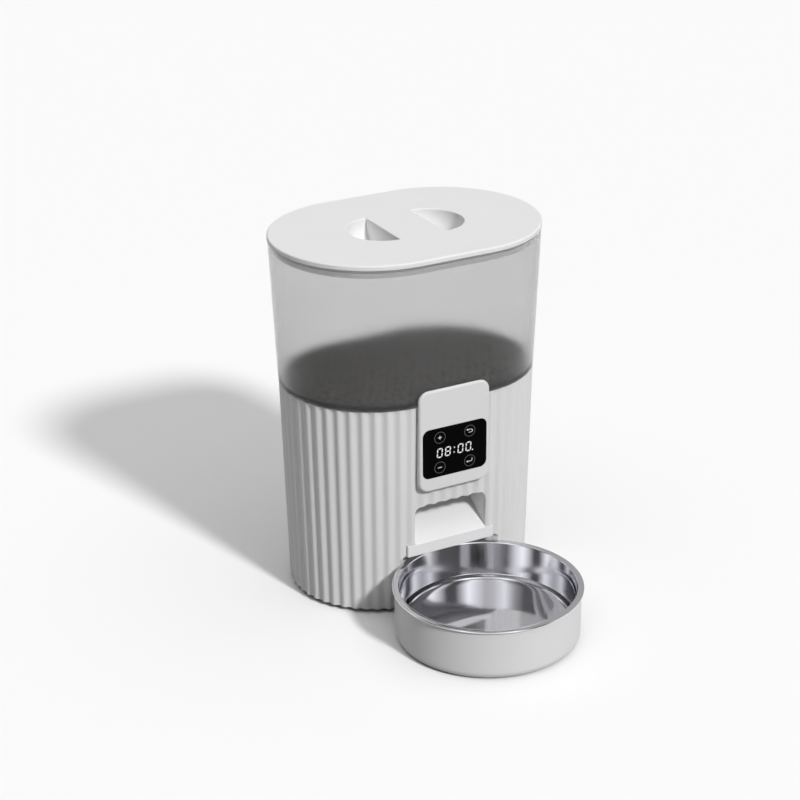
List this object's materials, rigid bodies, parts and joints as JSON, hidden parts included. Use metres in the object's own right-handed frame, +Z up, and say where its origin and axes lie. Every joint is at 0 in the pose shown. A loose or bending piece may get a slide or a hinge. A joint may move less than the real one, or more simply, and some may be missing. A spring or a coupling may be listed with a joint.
{
  "type": "automatic pet feeder",
  "caption": "Oval countertop dry-food feeder with a ribbed base, timed paddle dispenser, frosted lift-off hopper, finger-scoop lid and a steel bowl tucked under the outlet.",
  "frame": {"origin": "on the floor, under the middle of the whole feeder with its bowl in place", "axes": "+Z up, -Y towards the bowl and control panel, +X to the right seen from the front"},
  "size_m": [0.234, 0.3018, 0.315],
  "materials": {
    "white_abs": "satin",
    "inner_plastic": "matte",
    "frosted_hopper": "satin",
    "polished_steel": "polished",
    "zinc_screws": "satin",
    "spring_steel": "satin",
    "rubber_feet": "matte",
    "silicone": "matte",
    "seal_silicone": "matte",
    "display_glass": "gloss",
    "led_housing": "satin",
    "circuit_board": "satin",
    "board_parts": "satin",
    "black_plastic": "matte",
    "gearbox_nylon": "matte",
    "acetal_gears": "satin",
    "brass": "satin",
    "motor_can": "satin",
    "battery_jacket": "satin",
    "dry_food": "matte",
    "desiccant": "matte"
  },
  "bodies": {
    "base": {"base_shell": "white_abs", "bottom_cover": "inner_plastic", "rubber_feet": "rubber_feet", "bottom_screws": "zinc_screws", "bowl_dock": "inner_plastic", "chute": "white_abs", "rotor_chamber": "inner_plastic", "chamber_screws": "zinc_screws", "drop_shield": "inner_plastic", "deck": "inner_plastic", "front_panel": "white_abs", "display_window": "display_glass", "led_display": "led_housing", "touch_springs": "spring_steel", "display_board": "circuit_board", "panel_screws": "zinc_screws", "main_board": "circuit_board", "board_parts": "board_parts", "dc_jack": "black_plastic", "battery_box": "black_plastic", "battery_contacts": "spring_steel", "battery_cells": "battery_jacket", "gearbox_case": "gearbox_nylon", "gearbox_cover": "gearbox_nylon", "gearbox_screws": "zinc_screws", "idler_pin": "spring_steel", "output_bush": "brass", "shaft_seal": "silicone", "geared_motor": "motor_can", "motor_screws": "zinc_screws"},
    "hopper": {"hopper": "frosted_hopper", "food_fill": "dry_food"},
    "lid": {"lid": "white_abs", "lid_seal": "seal_silicone", "desiccant_box": "inner_plastic", "desiccant_cartridge": "desiccant"},
    "desiccant_door": {"desiccant_door": "inner_plastic"},
    "rotor": {"rotor_hub": "gearbox_nylon", "rotor_paddles": "silicone", "agitator": "gearbox_nylon", "drive_shaft": "spring_steel", "output_gear": "acetal_gears"},
    "idler": {"idler_gear": "acetal_gears"},
    "motor_rotor": {"motor_shaft": "spring_steel", "motor_pinion": "brass"},
    "bowl": {"bowl_holder": "white_abs", "steel_bowl": "polished_steel"},
    "battery_door": {"battery_door": "inner_plastic"}
  },
  "joints": [
    {"name": "hopper_lift", "type": "slide", "parent": "base", "child": "hopper", "axis": [0, 0, 1], "range_m": [0, 0.06]},
    {"name": "lid_lift", "type": "slide", "parent": "hopper", "child": "lid", "axis": [0, 0, 1], "range_m": [0, 0.06]},
    {"name": "desiccant_door_swing", "type": "hinge", "parent": "lid", "child": "desiccant_door", "pos_m": [0, 0.02805, 0.29615], "axis": [-1, 0, 0], "range_deg": [0, 90]},
    {"name": "rotor_spin", "type": "hinge", "parent": "base", "child": "rotor", "pos_m": [0, 0.07995, 0.1], "axis": [0, 0, 1], "continuous": true},
    {"name": "idler_spin", "type": "hinge", "parent": "base", "child": "idler", "pos_m": [0.009, 0.1022, 0.06], "axis": [0, 0, 1], "continuous": true},
    {"name": "motor_spin", "type": "hinge", "parent": "base", "child": "motor_rotor", "pos_m": [-0.01, 0.11114, 0.07], "axis": [0, 0, 1], "continuous": true},
    {"name": "bowl_slide", "type": "slide", "parent": "base", "child": "bowl", "axis": [0, -1, 0], "range_m": [0, 0.08]},
    {"name": "battery_door_slide", "type": "slide", "parent": "base", "child": "battery_door", "axis": [0, -1, 0], "range_m": [0, 0.008]}
  ],
  "couplings": [
    {"joint": "idler_spin", "follows": "rotor_spin", "ratio": -3},
    {"joint": "motor_spin", "follows": "rotor_spin", "ratio": 7.5}
  ]
}
